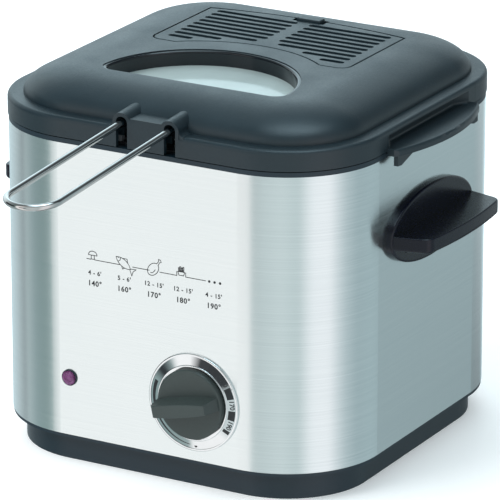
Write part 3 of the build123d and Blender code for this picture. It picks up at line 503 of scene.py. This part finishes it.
def mesh_wire(across, row, along, low):
    """One wire of the basket, down a wall, over the floor and up the far wall."""
    bottom = basket_limit(across, low + MESH_BEND)
    if bottom < MESH_SHORTEST:
        return None
    wall = []
    for i in range(int((BASKET_HIGH - low - MESH_BEND) / MESH_PITCH * 2) + 1):
        z = BASKET_HIGH - i * MESH_PITCH / 2
        over = 1 if (i // 2 + row) % 2 else -1
        out = basket_limit(across, z) + MESH_WAVE * over * (i % 2)
        wall.append((across, -out, z))
    reach = bottom - MESH_BEND
    for k in range(1, BEND_STEPS):
        a = math.radians(90 * k / BEND_STEPS)
        out = reach + MESH_BEND * math.cos(a)
        wall.append((across, -out, low + MESH_BEND - MESH_BEND * math.sin(a)))
    floor = []
    steps = int(reach / MESH_PITCH) * 2
    for i in range(-steps, steps + 1):
        over = 1 if (i // 2 + row + along) % 2 else -1
        floor.append((across, i * MESH_PITCH / 2, low + MESH_WAVE * over * (i % 2)))
    far = [(x, -y, z) for x, y, z in reversed(wall)]
    return wall + floor + far


def woven_basket(material):
    """The basket in crossing wires: two sets over the floor and up the walls, and hoops."""
    points, faces = [], []
    sides = 5
    low = BASKET_LOW + MESH_WIRE + 0.4
    for along in (0, 1):
        for row in range(MESH_COUNT):
            wire = mesh_wire(MESH_PITCH * (row - (MESH_COUNT - 1) / 2), row, along, low)
            if wire is None:
                continue
            if along:
                wire = [(y, x, z) for x, y, z in wire]
            add_tube(points, faces, wire, MESH_WIRE, sides)
    hoops = int((BASKET_HIGH - low - MESH_BEND) / MESH_PITCH)
    for level in range(1, hoops + 1):
        z = BASKET_HIGH - level * MESH_PITCH
        half, radius = basket_square(z)
        flat = half - radius
        corners = ((flat, flat), (-flat, flat), (-flat, -flat), (flat, -flat))
        ring = [(x, y, z) for x, y in round_corners(corners, radius, 9)]
        add_tube(points, faces, ring, MESH_WIRE, sides, closed=True)
    made = mesh_piece("basket_wires", points, faces, material, smooth=True)
    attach(made, "basket")
    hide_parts("basket_mesh")


def slot_ribs(material):
    """Slanting ribs across the steam slots of the filter cover, low in them."""
    points, faces = [], []
    lean = RIB_HALF_GAP * RIB_LEAN

    def lift(u, v, t):
        return (u, v, RIB_LOW + (RIB_TOP - RIB_LOW) * t)

    for row, start in enumerate(SLOT_STARTS):
        near = SLOT_FIRST_Y + row * SLOT_PITCH - RIB_HALF_GAP
        far = near + 2 * RIB_HALF_GAP
        for side in (-1, 1):
            for i in range(int((SLOT_END - start - 3.0) / RIB_PITCH) + 1):
                x = side * (start + 1.5 + i * RIB_PITCH)
                left, right = x - RIB_WIDTH / 2, x + RIB_WIDTH / 2
                outline = [
                    (left + lean, near), (right + lean, near),
                    (right - lean, far), (left - lean, far),
                ]
                add_prism(points, faces, outline, lift)
    made = mesh_piece("steam_slot_ribs", points, faces, material)
    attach(made, "filter_door")


def gauze_sheet(material, bounds):
    """The gauze under the cover as two crossing sets of fine wires."""
    (x0, y0, z0), (x1, y1, z1) = [[v / MM for v in corner] for corner in bounds]
    points, faces = [], []
    sides = 4
    end = y1 - GAUZE_BACK
    upper, lower = (z0 + z1) / 2 + GAUZE_WIRE, (z0 + z1) / 2 - GAUZE_WIRE
    for i in range(int((x1 - x0) / GAUZE_PITCH)):
        x = x0 + GAUZE_PITCH * (i + 0.5)
        start = y0
        if abs(x) < BAY_R:
            start = max(start, BAY_Y + math.sqrt(BAY_R * BAY_R - x * x))
        if NOTCH_IN < abs(x) < NOTCH_OUT:
            start = max(start, y0 + NOTCH_DEEP)
        add_tube(points, faces, [(x, start, upper), (x, end, upper)], GAUZE_WIRE, sides)
    for i in range(int((end - y0) / GAUZE_PITCH)):
        y = y0 + GAUZE_PITCH * (i + 0.5)
        reach = BAY_R * BAY_R - (y - BAY_Y) ** 2
        inner = math.sqrt(reach) if reach > 0 else 0.0
        outer = NOTCH_IN if y < y0 + NOTCH_DEEP else x1
        if inner > outer - 1:
            continue
        spans = [(-outer, -inner), (inner, outer)] if inner > 0 else [(-outer, outer)]
        for a, b in spans:
            add_tube(points, faces, [(a, y, lower), (b, y, lower)], GAUZE_WIRE, sides)
    made = mesh_piece("gauze_wires", points, faces, material)
    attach(made, "lid")
    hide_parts("filter_gauze")


# ---- printing on the body -------------------------------------------------------------
def ink(name, colour):
    return surface(name, colour, 0.45, 0.0, mottle=0.25, clouds=300, grain=2500, depth=0.004)


def dial_height(radius):
    """How far the dial ring stands off the steel at a radius."""
    part = (radius - DIAL_INNER) / (DIAL_OUTER - DIAL_INNER)
    return DIAL_HIGH + (DIAL_LOW - DIAL_HIGH) * part


def dial_point(angle, radius, lift):
    """A place on the dial ring, its angle clockwise from the top in degrees."""
    a = math.radians(angle)
    y = -HALF - dial_height(radius) - lift
    return (KNOB_X + radius * math.sin(a), y, KNOB_Z + radius * math.cos(a))


def add_band(points, faces, start, end, inner, outer, steps):
    """Adds a curved block on the dial ring; inner(a) and outer(a) are its edges at an angle."""
    for i in range(steps):
        angles = [start + (end - start) * k / steps for k in (i, i + 1)]
        first = len(points)
        for lift in (0.0, RING_INK):
            for angle in angles:
                for edge in (inner, outer):
                    points.append(dial_point(angle, edge(angle), lift))
        faces.append((first, first + 1, first + 3, first + 2))
        faces.append((first + 4, first + 6, first + 7, first + 5))
        for p, q in ((0, 1), (1, 3), (3, 2), (2, 0)):
            faces.append((first + p, first + 4 + p, first + 4 + q, first + q))


def dial_marks(material):
    """Blocks between the numbers, the off dot and the wedge that grows towards hot."""
    points, faces = [], []
    for start, end in ((24, 42), (60.5, 75.5), (91, 104), (119.5, 124.5)):
        add_band(points, faces, start, end, lambda a: 21.0, lambda a: 24.6, 6)
    cold, hot, growth = 184, 292, 0.9

    def inner(angle):
        return 22.7 - growth * (angle - cold) / (hot - cold)

    def outer(angle):
        return 23.0 + growth * (angle - cold) / (hot - cold)

    add_band(points, faces, cold, hot, inner, outer, 30)
    off_angle, off_radius = 176, 23.2
    x, y, z = dial_point(off_angle, off_radius, 0)
    add_disc(points, faces, x, z, 0.85, lambda u, v, t: (u, y - RING_INK * t, v))
    made = mesh_piece("dial_marks", points, faces, material)
    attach(made, "fryer")

    row, size = 22.9, 3.5
    words = []
    for text, angle in (("150", 51.5), ("170", 83.0), ("190", 111.5)):
        a = math.radians(angle)
        words.append((text, row * math.sin(a), row * math.cos(a), size, -angle))
    stand = -HALF - dial_height(21.6) - 0.02
    numbers = lettering("dial_numbers", words, material, upright(KNOB_X, stand, KNOB_Z))
    for corner in numbers.data.vertices:    # laid down on the ring's slope
        x, y, z = [v / MM for v in corner.co]
        radius = math.hypot(x - KNOB_X, z - KNOB_Z)
        corner.co.y = (y - stand - HALF - dial_height(radius) - 0.03) * MM
    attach(numbers, "fryer")


def front_guide(material):
    """Printed cooking guide: a stepped line with foods, minutes and temperatures."""
    points, faces = [], []
    line = GUIDE_LINE

    def lift(u, v, t):
        return (u, -HALF - FRONT_GAP - FRONT_INK * t, v)

    def draw(path, width=0.40, closed=False):
        add_stroke(points, faces, path, width, lift, closed)

    def draw_all(shapes, x, y, degrees, width):
        for shape in shapes:
            draw(turned(shape, x, y, degrees), width)

    draw([(-35.6, line), (-33.2, line)])
    draw([(-30.8, line), (-16.2, line)])
    draw([(-8.4, line), (1.4, line)])
    draw([(7.6, line), (17.6, line), (17.6, line + 2.2)])
    draw([(22.8, line + 2.2), (22.8, line), (34.4, line)])
    # mushroom
    brim = line + 2.3
    draw(arc(-32.0, line + 2.5, 2.5, 0, 180, 12, 0.8) + [(-34.5, brim), (-29.5, brim)])
    draw([(-32.8, brim), (-33.0, line + 0.2), (-31.0, line + 0.2), (-31.2, brim)])
    # fish
    body = arc(0, -5.4, 7.4, 47, 133, 14) + arc(0, 5.4, 7.4, 227, 313, 14)
    tail = [(4.9, 0.3), (7.6, 2.3), (6.9, 0.0), (7.6, -2.3), (4.9, -0.3)]
    top_fin = [(-1.6, 1.9), (0.5, 3.3), (1.9, 1.8)]
    gill = [(-2.8, 1.4), (-2.3, 0.1), (-2.8, -1.3)]
    low_fin = [(0.2, -2.0), (1.4, -3.0), (2.2, -1.7)]
    draw_all((body, tail, top_fin, gill, low_fin), -13.9, line + 1.2, -34, 0.36)
    fish_eye = turned([(-3.8, 0.5)], -13.9, line + 1.2, -34)[0]
    add_disc(points, faces, *fish_eye, 0.26, lift)
    # drumstick
    meat = arc(0, 0, 3.9, 12, 348, 26, 0.70)
    bone = [
        (3.8, 0.6), (5.6, 0.7), (6.5, 1.5), (7.0, 0.5), (6.5, -0.6), (5.6, -0.1), (3.8, -0.5),
    ]
    shine = arc(-0.4, 0.2, 2.2, 200, 300, 8, 0.6)
    draw_all((meat, bone, shine), 3.7, line + 0.9, 48, 0.38)
    # box of fries
    foot = line + 0.4
    draw([(18.2, brim), (18.8, foot), (21.6, foot), (22.2, brim)], closed=True)
    for x, top in ((18.9, 4.3), (19.7, 5.0), (20.6, 4.5), (21.5, 4.9)):
        tip = line + top
        draw([(x - 0.25, brim), (x - 0.35, tip), (x + 0.3, tip), (x + 0.2, brim)])
    # three dots
    for x in (36.5, 39.6, 42.8):
        add_disc(points, faces, x, line, 0.72, lift)
    made = mesh_piece("front_guide", points, faces, material)
    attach(made, "fryer")

    words = []
    for x, minutes, degrees in GUIDE_WORDS:
        words.append((minutes, x, MINUTES_Z, MINUTES_SIZE, 0))
        words.append((f"{degrees}°", x, HEAT_Z, HEAT_SIZE, 0))
    place = upright(0, -HALF - FRONT_INK, 0)
    numbers = lettering("front_numbers", words, material, place, 1.12)
    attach(numbers, "fryer")


def rear_details(steel, plate):
    """The folded seam of the steel at the back and a blank plate beside it."""
    points, faces = [], []

    def add_rear(outline, height):
        """Adds an outline, anticlockwise as x and z, standing off the back of the steel."""
        add_prism(
            points, faces, outline[::-1], lambda u, v, t: (u, HALF - REAR_SINK + height * t, v)
        )

    for left, right, height in ((34, 41.5, 0.45), (36.6, 37.2, 0.75)):
        strip = [(left, SEAM_LOW), (right, SEAM_LOW), (right, SEAM_HIGH), (left, SEAM_HIGH)]
        add_rear(strip, height)
    seam = mesh_piece("rear_seam", points, faces, steel)
    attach(seam, "fryer")

    points, faces = [], []
    add_rear(round_corners(((-22, 84), (-66, 84), (-66, 56), (-22, 56)), 3, 5), 0.3)
    label = mesh_piece("rear_plate", points, faces, plate)
    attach(label, "fryer")


# ---- studio, in metres ----------------------------------------------------------------
def area(name, place, aim, size, power, colour, glossy=False):
    data = bpy.data.lights.new(name, "AREA")
    data.energy = power
    data.size = size
    data.color = colour
    lamp = put(name, data)
    lamp.location = place
    lamp.rotation_euler = (Vector(aim) - Vector(place)).to_track_quat("-Z", "Y").to_euler()
    lamp.visible_camera = False
    lamp.visible_glossy = glossy


def ramp(tree, factor, stops):
    """A colour ramp; stops holds (position, colour) in order, the first one at 0."""
    made = node(tree, "ShaderNodeValToRGB", Fac=factor)
    elements = made.color_ramp.elements
    while len(elements) > 1:
        elements.remove(elements[-1])
    elements[0].position = stops[0][0]
    elements[0].color = (*stops[0][1], 1)
    for position, colour in stops[1:]:
        elements.new(position).color = (*colour, 1)
    return made.outputs[0]


def tent_glow(tree):
    """The colour that the reflection tent shows in each direction."""
    where = tree.nodes.new("ShaderNodeTexCoord").outputs["Object"]
    x, y, z = node(tree, "ShaderNodeSeparateXYZ", Vector=where).outputs
    bearing = maths(tree, "ARCTAN2", x, maths(tree, "MULTIPLY", y, -1.0))
    # bearing in degrees from the front towards the right, and the colour there
    around = (
        (-180, 0.48, 0.58, 0.61), (-165, 0.90, 1.12, 1.21), (-130, 1.05, 1.30, 1.38),
        (-108, 0.92, 1.08, 1.13), (-85, 0.56, 0.65, 0.67), (-66, 0.33, 0.43, 0.44),
        (-52, 0.30, 0.40, 0.40), (-41, 0.38, 0.48, 0.48), (-37, 1.14, 1.14, 1.14),
        (-15, 1.14, 1.14, 1.14), (-10, 0.70, 0.78, 0.79), (0, 0.64, 0.72, 0.73),
        (23, 0.70, 0.78, 0.79), (41, 0.62, 0.71, 0.72), (50, 0.84, 0.89, 0.91),
        (57, 1.00, 1.02, 1.05), (76, 1.02, 1.03, 1.06), (87, 0.74, 0.80, 0.83),
        (97, 0.54, 0.63, 0.66), (112, 0.41, 0.51, 0.54), (138, 0.42, 0.53, 0.56),
        (153, 0.42, 0.53, 0.56), (165, 0.50, 0.58, 0.61), (180, 0.48, 0.58, 0.61),
    )
    stops = [((degrees + 180) / 360, colour) for degrees, *colour in around]
    round_about = ramp(tree, remap(tree, bearing, -math.pi, math.pi, 0, 1), stops)
    # height as a part of the radius, and the shade there
    levels = ((-1, 0.9), (-0.5, 1.0), (0.45, 1.0), (0.68, 0.42), (0.9, 0.34), (1, 0.45))
    stops = [((level + 1) / 2, (shade, shade, shade)) for level, shade in levels]
    height = ramp(tree, remap(tree, z, -1, 1, 0, 1), stops)
    shaded = blend(tree, 1.0, round_about, height, "MULTIPLY")

    def within(value, middle, reach, soft):
        """1 where value is within reach of middle, falling to 0 over soft."""
        off = maths(tree, "ABSOLUTE", maths(tree, "SUBTRACT", value, middle))
        return remap(tree, off, reach, reach + soft, 1, 0)

    # dark screens: bearing and reach in degrees, height and reach as a part of the radius,
    # weight; the one at the back is listed on both sides of the join at 180 degrees
    for turn, wide, middle, tall, weight in (
        (-66, 21, 0.11, 0.27, 0.96), (-14, 9, 0.0, 0.13, 0.97), (180, 23, -0.7, 0.32, 0.85),
        (-180, 23, -0.7, 0.32, 0.85), (-122, 34, -0.45, 0.45, 0.42),
        (152, 26, 0.68, 0.33, 0.8),
    ):
        beside = within(bearing, math.radians(turn), math.radians(wide), math.radians(6))
        screen = maths(tree, "MULTIPLY", beside, within(z, middle, tall, 0.07))
        cover = maths(tree, "MULTIPLY", screen, weight)
        shaded = blend(tree, cover, shaded, (0.03, 0.035, 0.04))
    # a lamp overhead, for the sheen on the front right corner of the lid
    aside, above = maths(tree, "MULTIPLY", x, 0.13), maths(tree, "MULTIPLY", z, 0.99)
    lamp = remap(tree, maths(tree, "ADD", aside, above), 0.90, 0.985, 0, 1)
    return blend(tree, lamp, shaded, (3.4, 4.5, 5.0))


def reflection_tent():
    """A sphere round the object, only seen as reflections: bright cards and grey gaps."""
    made = bpy.data.materials.new("tent")
    made.use_nodes = True
    tree = made.node_tree
    tree.nodes.clear()
    glow = node(tree, "ShaderNodeEmission", Color=tent_glow(tree), Strength=1.0)
    feed(tree, tree.nodes.new("ShaderNodeOutputMaterial").inputs[0], glow.outputs[0])
    points, faces = [], []
    rings, around = 24, 48
    for i in range(rings + 1):
        a = math.pi * i / rings
        for k in range(around):
            b = 2 * math.pi * k / around
            points.append((math.sin(a) * math.cos(b), math.sin(a) * math.sin(b), math.cos(a)))
    for i in range(rings):
        low, high = i * around, (i + 1) * around
        for k in range(around):
            n = (k + 1) % around
            faces.append((low + k, low + n, high + n, high + k))
    data = bpy.data.meshes.new("tent")
    data.from_pydata(points, [], faces)
    data.materials.append(made)
    tent = put("tent", data)
    tent.location = (0, 0, 0.1)
    tent.scale = (6, 6, 6)
    tent.visible_camera = False
    tent.visible_diffuse = False
    tent.visible_transmission = False
    tent.visible_shadow = False


def studio():
    world = bpy.data.worlds.new("studio")
    bpy.context.scene.world = world
    world.use_nodes = True
    sky = world.node_tree.nodes["Background"]
    sky.inputs["Color"].default_value = (0.82, 0.95, 1.0, 1)
    sky.inputs["Strength"].default_value = 0.9
    bpy.context.scene.view_settings.view_transform = "Standard"
    area("key", (-1.1, -1.3, 1.7), (0, 0, 0.1), 1.6, 34, (1.0, 1.0, 0.99))
    area("rear", (-1.2, 1.6, 1.3), (0, 0, 0.15), 1.4, 16, (0.93, 0.98, 1.0))
    area(
        "sheen", (-0.46, 0.60, 0.50), (-0.03, 0.0, 0.2), 0.42, 0.24, (0.66, 0.95, 1.08),
        glossy=True,
    )
    paper = surface(
        "paper", (0.95, 0.95, 0.95), 0.9, 0.0, mottle=0.01, clouds=3, grain=120, depth=0.05,
        Emission_Color=(1, 1, 1, 1), Emission_Strength=0.22,
    )
    far = 9000      # millimetres, as mesh_piece takes them
    corners = [(-far, -far, 0), (far, -far, 0), (far, far, 0), (-far, far, 0)]
    floor = mesh_piece("floor", corners, [(0, 1, 2, 3)], paper)
    floor.visible_glossy = False


camera()
studio()
reflection_tent()
slots = finishes()
for part in frame["record"]["subparts"]:
    paint(frame["nodes"][part["node"]], slots[part["material_slot"]])
woven_basket(slots["bright_wire"])
slot_ribs(slots["lid_plastic"])
gauze_sheet(slots["gauze"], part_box("filter_gauze"))
black_ink = ink("black_ink", (0.016, 0.018, 0.021))
dial_marks(black_ink)
front_guide(black_ink)
rear_details(slots["brushed_steel"], slots["aluminium"])
